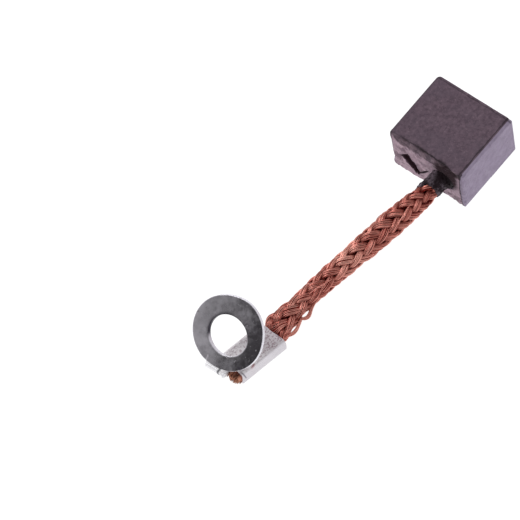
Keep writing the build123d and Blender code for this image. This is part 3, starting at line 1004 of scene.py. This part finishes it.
# =============================================================================
# materials
# =============================================================================
def copper_material():
    nd = Nodes("copper_wire")
    wire, strand = nd.attr("wire"), nd.attr("strand")
    tone = mix_rgba(nd, nd.ramp(wire, 0.15, 0.95), (0.84, 0.378, 0.312), (0.53, 0.170, 0.136))
    tone = mix_rgba(nd, nd.math("MULTIPLY", strand, 0.35), tone, (0.52, 0.172, 0.138))
    blotch = nd.ramp(nd.noise(650.0, 3.0), 0.45, 0.66)
    tone = mix_rgba(nd, nd.math("MULTIPLY", blotch, 0.50), tone, (0.40, 0.115, 0.090))
    tone = mix_rgba(nd, nd.ramp(nd.noise(160.0, 2.0), 0.54, 0.72), tone, (0.87, 0.440, 0.362))
    # painted shade: the low attribute darkens the wires deep between the strands and at their edges
    tone = mix_rgba(nd, nd.ramp(nd.attr("low"), 0.12, 0.86), tone, (0.225, 0.024, 0.019))
    # the cut end is browner, some of its wires dark
    cut = nd.attr("cut")
    tone = mix_rgba(nd, nd.math("MULTIPLY", cut, 0.55), tone, (0.46, 0.255, 0.150))
    dark = nd.math("MULTIPLY", nd.ramp(nd.noise(2600.0, 3.0, 0.6), 0.46, 0.62), 0.70)
    tone = mix_rgba(nd, nd.math("MULTIPLY", cut, dark), tone, (0.060, 0.022, 0.012))
    nd.put(nd.bsdf.inputs["Base Color"], tone)
    nd.bsdf.inputs["Metallic"].default_value = 1.0
    rough = nd.ramp(nd.noise(900.0, 2.0), 0.3, 0.7, 0.35, 0.52)
    nd.put(nd.bsdf.inputs["Roughness"], rough)
    return nd.mat


def core_material():
    nd = Nodes("copper_core")
    # painted shade: the braid's hidden inside coloured near black-red
    tone = mix_rgba(nd, nd.noise(1500.0, 2.0), (0.15, 0.014, 0.011), (0.25, 0.030, 0.022))
    nd.put(nd.bsdf.inputs["Base Color"], tone)
    nd.bsdf.inputs["Metallic"].default_value = 0.6
    nd.bsdf.inputs["Roughness"].default_value = 0.6
    return nd.mat


def thin_line(nd, name, wander, wide, narrow):
    """A dark line about a distance attribute, wandering and of uneven width."""
    shift = nd.math("MULTIPLY", nd.math("SUBTRACT", nd.noise(1300.0, 4.0, 0.65), 0.5), wander)
    d = nd.math("ABSOLUTE", nd.math("ADD", nd.attr(name), shift))
    width = nd.ramp(nd.noise(760.0, 3.0), 0.36, 0.64, narrow, wide)
    return nd.math("POWER", 2.718, nd.math("MULTIPLY", -1.0, nd.math("POWER", nd.math("DIVIDE", d, width), 2.0)))


def carbon_material():
    nd = Nodes("carbon")
    top, lead = nd.attr("top"), nd.attr("lead")
    side_c = mix_rgba(nd, nd.ramp(nd.noise(1500.0, 5.0, 0.65), 0.3, 0.7), (0.265, 0.215, 0.30), (0.335, 0.275, 0.38))
    patch = nd.ramp(nd.noise(1250.0, 5.0, 0.62, distortion=0.4), 0.40, 0.60)
    lead_c = mix_rgba(nd, patch, (0.185, 0.120, 0.155), (0.49, 0.355, 0.425))
    lead_c = mix_rgba(nd, nd.ramp(nd.noise(420.0, 3.0), 0.42, 0.62), lead_c, (0.42, 0.30, 0.365))
    grime = nd.ramp(nd.noise(2300.0, 4.0, 0.6), 0.58, 0.68)
    lead_c = mix_rgba(nd, nd.math("MULTIPLY", grime, 0.45), lead_c, (0.15, 0.105, 0.115))
    top_c = mix_rgba(nd, nd.ramp(nd.noise(2600.0, 5.0, 0.72), 0.30, 0.70), (0.088, 0.058, 0.080), (0.160, 0.107, 0.140))
    top_c = mix_rgba(nd, nd.math("MULTIPLY", nd.ramp(nd.noise(300.0, 3.0), 0.38, 0.64), 0.5), top_c, (0.112, 0.080, 0.108))
    specks = nd.ramp(nd.noise(5200.0, 2.0), 0.64, 0.70)
    top_c = mix_rgba(nd, nd.math("MULTIPLY", specks, 0.45), top_c, (0.22, 0.155, 0.19))
    c = mix_rgba(nd, lead, side_c, lead_c)
    c = mix_rgba(nd, nd.ramp(top, 0.35, 0.75), c, top_c)
    broken_c = mix_rgba(nd, patch, (0.085, 0.056, 0.076), (0.19, 0.130, 0.160))
    c = mix_rgba(nd, nd.attr("broken"), c, broken_c)
    # the line where the top's edge has broken away
    crease = thin_line(nd, "crease_d", 0.34, 0.20, 0.070)
    strong = nd.ramp(nd.math("ADD", nd.attr("along"), nd.math("MULTIPLY", nd.math("SUBTRACT", nd.noise(600.0, 2.0), 0.5), 0.5)),
                     0.02, 0.42, 0.25, 0.96)
    c = mix_rgba(nd, nd.math("MULTIPLY", crease, strong), c, (0.012, 0.006, 0.009))
    # painted shade: dark lines just inside the block's edges
    for name, wander, wide, narrow, amount in (("line_y", 0.16, 0.13, 0.055, 0.80), ("line_x", 0.30, 0.12, 0.03, 0.62),
                                               ("line_b", 0.10, 0.10, 0.05, 0.90)):
        line = thin_line(nd, name, wander, wide, narrow)
        c = mix_rgba(nd, nd.math("MULTIPLY", line, amount), c, (0.018, 0.011, 0.018))
    # painted shade along the rounded far vertical edge and the top edge
    c = mix_rgba(nd, nd.attr("edge"), c, (0.030, 0.022, 0.030))
    # painted shade inside the crack's recess
    c = mix_rgba(nd, nd.math("MULTIPLY", nd.attr("crack"), 0.96), c, (0.034, 0.010, 0.014))
    c = mix_rgba(nd, nd.math("MULTIPLY", nd.attr("root"), 0.96), c, (0.018, 0.007, 0.010))
    pits = nd.ramp(nd.noise(4300.0, 3.0, 0.6), 0.28, 0.36)
    c = mix_rgba(nd, nd.math("MULTIPLY", nd.math("SUBTRACT", 1.0, pits), 0.45), c, (0.05, 0.035, 0.045))
    nd.put(nd.bsdf.inputs["Base Color"], c)
    nd.bsdf.inputs["Metallic"].default_value = 0.0
    nd.bsdf.inputs["Specular IOR Level"].default_value = 0.22
    nd.put(nd.bsdf.inputs["Roughness"], nd.math("MAXIMUM", nd.ramp(nd.noise(1100.0), 0.3, 0.7, 0.55, 0.78), nd.attr("root")))
    n1 = nd.bump(nd.noise(2400.0, 4.0, 0.7), 0.35, 0.00003)
    n1 = nd.bump(pits, 0.35, 0.00002, n1)
    nd.link(n1, nd.bsdf.inputs["Normal"])
    return nd.mat


def cement_material():
    nd = Nodes("cement")
    c = mix_rgba(nd, nd.ramp(nd.noise(1100.0, 5.0, 0.7), 0.46, 0.66), (0.016, 0.008, 0.012), (0.168, 0.130, 0.160))
    c = mix_rgba(nd, nd.math("MULTIPLY", nd.attr("shade"), 0.95), c, (0.007, 0.002, 0.004))
    nd.bsdf.inputs["Specular IOR Level"].default_value = 0.17
    nd.put(nd.bsdf.inputs["Base Color"], c)
    nd.put(nd.bsdf.inputs["Roughness"], nd.ramp(nd.noise(1300.0), 0.3, 0.7, 0.6, 0.85))
    nd.link(nd.bump(nd.noise(1800.0, 5.0, 0.7), 0.6, 0.00008), nd.bsdf.inputs["Normal"])
    return nd.mat


def tin_material():
    nd = Nodes("tinned_sheet")
    c = mix_rgba(nd, nd.noise(500.0, 4.0, 0.6), (0.56, 0.535, 0.57), (0.70, 0.67, 0.71))
    # speckles where the tin is thin
    spots = nd.ramp(nd.noise(4100.0, 3.0, 0.68), 0.475, 0.60)
    plate = nd.attr("plate")
    # painted light: the plate lighter towards its far end, where the ring's shadow falls
    plate_tin_and_painted_light = mix_rgba(nd, nd.attr("mouth"), (0.97, 0.93, 0.96), (0.76, 0.70, 0.74))
    c = mix_rgba(nd, nd.math("MULTIPLY", plate, 0.85), c, plate_tin_and_painted_light)
    spotted = nd.math("MULTIPLY", nd.math("MULTIPLY", spots, plate), nd.ramp(nd.attr("mouth"), 0.0, 1.0, 0.50, 0.76))
    c = mix_rgba(nd, spotted, c, (0.34, 0.205, 0.25))
    c = mix_rgba(nd, nd.math("MULTIPLY", spots, 0.12), c, (0.32, 0.28, 0.31))
    c = mix_rgba(nd, nd.math("MULTIPLY", nd.attr("stain"), 0.85), c, (0.34, 0.10, 0.12))
    # the ring's faces: a painted reflection, lighter towards one side and darker towards the other, with lighter
    # painted patches, mottled, with dents, flecks and scratches
    cloud = nd.math("MULTIPLY", nd.math("SUBTRACT", nd.ramp(nd.noise(700.0, 4.0, 0.62), 0.36, 0.64), 0.5), 0.18)
    fine = nd.math("MULTIPLY", nd.math("SUBTRACT", nd.ramp(nd.noise(2000.0, 4.0, 0.66), 0.36, 0.64), 0.5), 0.18)
    painted_reflection_mottle = nd.ramp(nd.math("ADD", nd.attr("across"), nd.math("ADD", cloud, fine)), 0.0, 0.95)
    wear_and_painted_reflection = mix_rgba(nd, painted_reflection_mottle, (0.60, 0.575, 0.625), (0.100, 0.092, 0.104))
    dents = nd.ramp(nd.noise(1900.0, 3.0, 0.6), 0.66, 0.74)
    wear_and_painted_reflection = mix_rgba(nd, nd.math("MULTIPLY", dents, 0.55), wear_and_painted_reflection, (0.075, 0.068, 0.082))
    flecks = nd.ramp(nd.noise(3000.0, 2.0), 0.69, 0.75)
    wear_and_painted_reflection = mix_rgba(nd, nd.math("MULTIPLY", flecks, 0.8), wear_and_painted_reflection, (0.72, 0.69, 0.75))
    scratch = nd.ramp(nd.noise(1.0, 2.0, 0.6, vec=nd.stretch((700.0, 5200.0, 700.0))), 0.735, 0.775)
    wear_and_painted_reflection = mix_rgba(nd, nd.math("MULTIPLY", scratch, 0.75), wear_and_painted_reflection, (0.78, 0.75, 0.80))
    c = mix_rgba(nd, nd.attr("face"), c, wear_and_painted_reflection)
    # painted shade round the hole's upper left
    c = mix_rgba(nd, nd.math("MULTIPLY", nd.attr("brink"), 0.84), c, (0.060, 0.054, 0.068))
    c = mix_rgba(nd, nd.math("MULTIPLY", nd.attr("rim"), 0.92), c, (0.86, 0.84, 0.92))
    # painted shade on the hole's wall
    c = mix_rgba(nd, nd.math("MULTIPLY", nd.attr("wall_shade"), 0.93), c, (0.045, 0.040, 0.055))
    c = mix_rgba(nd, nd.math("MULTIPLY", nd.attr("wall_lit"), 0.88), c, (0.80, 0.77, 0.85))
    c = mix_rgba(nd, nd.math("MULTIPLY", nd.attr("nick"), 0.88), c, (0.07, 0.055, 0.09))
    # painted highlight on the hole's rounded edge
    c = mix_rgba(nd, nd.math("MULTIPLY", nd.attr("hole_edge_highlight"), 0.80), c, (0.80, 0.77, 0.83))
    # painted light on the turned strip and lip
    c = mix_rgba(nd, nd.math("MULTIPLY", nd.attr("turned"), 0.95), c, (0.97, 0.96, 0.99))
    # painted shade of a gap across the fold
    c = mix_rgba(nd, nd.math("MULTIPLY", nd.attr("gap"), 0.97), c, (0.025, 0.020, 0.030))
    nd.put(nd.bsdf.inputs["Base Color"], c)
    # metallic lowered on the plate's dull tin, on the rim, and where light is painted (turned part, lit wall)
    dull_tin_and_painted_light = nd.math("MAXIMUM", plate, nd.attr("turned"))
    dull_tin_and_painted_light = nd.math("MAXIMUM", dull_tin_and_painted_light, nd.math("MAXIMUM", nd.attr("wall_lit"), nd.attr("rim")))
    nd.put(nd.bsdf.inputs["Metallic"], nd.ramp(dull_tin_and_painted_light, 0.0, 1.0, 1.0, 0.20))
    nd.put(nd.bsdf.inputs["Roughness"], nd.ramp(nd.noise(420.0, 4.0), 0.3, 0.72, 0.26, 0.44))
    n1 = nd.bump(nd.noise(260.0, 2.0), 0.25, 0.00012)
    n1 = nd.bump(nd.noise(3000.0, 3.0, 0.7), 0.20, 0.00001, n1)
    nd.link(n1, nd.bsdf.inputs["Normal"])
    return nd.mat


copper = copper_material()
for ob in strand_objects + [strays]:
    ob.data.materials.append(copper)
core.data.materials.append(core_material())
block.data.materials.append(carbon_material())
cement.data.materials.append(cement_material())
terminal.data.materials.append(tin_material())

# the CAD's own solids stay beneath as the frame
for node, piece, slot in (("carbon_block", block, "carbon"), ("root_cement", cement, "cement"),
                          ("ring_terminal", terminal, "tinned_sheet")):
    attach(piece, "root")
    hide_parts(node)
for ob in strand_objects + [strays, core]:
    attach(ob, "root")
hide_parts("braided_shunt")


# =============================================================================
# floor and light
# =============================================================================
floor_me = bpy.data.meshes.new("floor")
floor_me.from_pydata([(-3, -3, 0), (3, -3, 0), (3, 3, 0), (-3, 3, 0)], [], [(0, 1, 2, 3)])
floor = bpy.data.objects.new("floor", floor_me)
scene.collection.objects.link(floor)
floor.location.z = -0.00002
fm = Nodes("floor")
fm.put(fm.bsdf.inputs["Base Color"], mix_rgba(fm, fm.noise(3.0), (0.17, 0.17, 0.17), (0.18, 0.18, 0.18)))
fm.bsdf.inputs["Roughness"].default_value = 0.9
fm.bsdf.inputs["Emission Color"].default_value = (1, 1, 1, 1)
fm.bsdf.inputs["Emission Strength"].default_value = 0.96
floor.data.materials.append(fm.mat)

world = bpy.data.worlds.new("world")
scene.world = world
world.use_nodes = True
wt = world.node_tree
wt.nodes.clear()
w_out = wt.nodes.new("ShaderNodeOutputWorld")
w_bg = wt.nodes.new("ShaderNodeBackground")
w_tc = wt.nodes.new("ShaderNodeTexCoord")
wt.links.new(w_bg.outputs[0], w_out.inputs[0])


def w_dir(direction, inner, outer, lo, hi):
    """A soft round patch of the surroundings about a direction."""
    dot = wt.nodes.new("ShaderNodeVectorMath")
    dot.operation = "DOT_PRODUCT"
    wt.links.new(w_tc.outputs["Generated"], dot.inputs[0])
    dot.inputs[1].default_value = Vector(direction).normalized()
    mr = wt.nodes.new("ShaderNodeMapRange")
    mr.interpolation_type = "SMOOTHSTEP"
    wt.links.new(dot.outputs["Value"], mr.inputs["Value"])
    mr.inputs["From Min"].default_value = math.cos(math.radians(outer))
    mr.inputs["From Max"].default_value = math.cos(math.radians(inner))
    mr.inputs["To Min"].default_value = lo
    mr.inputs["To Max"].default_value = hi
    return mr.outputs["Result"]


sep = wt.nodes.new("ShaderNodeSeparateXYZ")
wt.links.new(w_tc.outputs["Generated"], sep.inputs[0])
sky = wt.nodes.new("ShaderNodeMapRange")
sky.interpolation_type = "SMOOTHSTEP"
wt.links.new(sep.outputs["Z"], sky.inputs["Value"])
sky.inputs["From Min"].default_value = 0.0
sky.inputs["From Max"].default_value = 0.75
sky.inputs["To Min"].default_value = 1.0
sky.inputs["To Max"].default_value = 0.42


def w_math(op, a, b):
    m = wt.nodes.new("ShaderNodeMath")
    m.operation = op
    for i, x in enumerate((a, b)):
        if isinstance(x, bpy.types.NodeSocket):
            wt.links.new(x, m.inputs[i])
        else:
            m.inputs[i].default_value = x
    return m.outputs[0]


card = w_dir((-0.90, 0.22, 0.37), 14, 38, 1.0, 0.34)
level = w_math("MULTIPLY", sky.outputs["Result"], card)
wt.links.new(level, w_bg.inputs["Strength"])
w_bg.inputs["Color"].default_value = (1.0, 1.0, 1.0, 1.0)

key_data = bpy.data.lights.new("key", "AREA")
key_data.shape = "DISK"
key_data.size = 0.30
key_data.energy = 1.45
key = bpy.data.objects.new("key", key_data)
scene.collection.objects.link(key)
key_dir = Vector((-0.12, 0.59, 0.78)).normalized()
key.location = Vector((-0.0155, 0.002, 0.002)) + key_dir * 0.60
key.rotation_euler = key_dir.to_track_quat("Z", "Y").to_euler()

scene.view_settings.view_transform = "Standard"
scene.view_settings.look = "None"
scene.view_settings.exposure = 0.0
scene.view_settings.gamma = 1.0
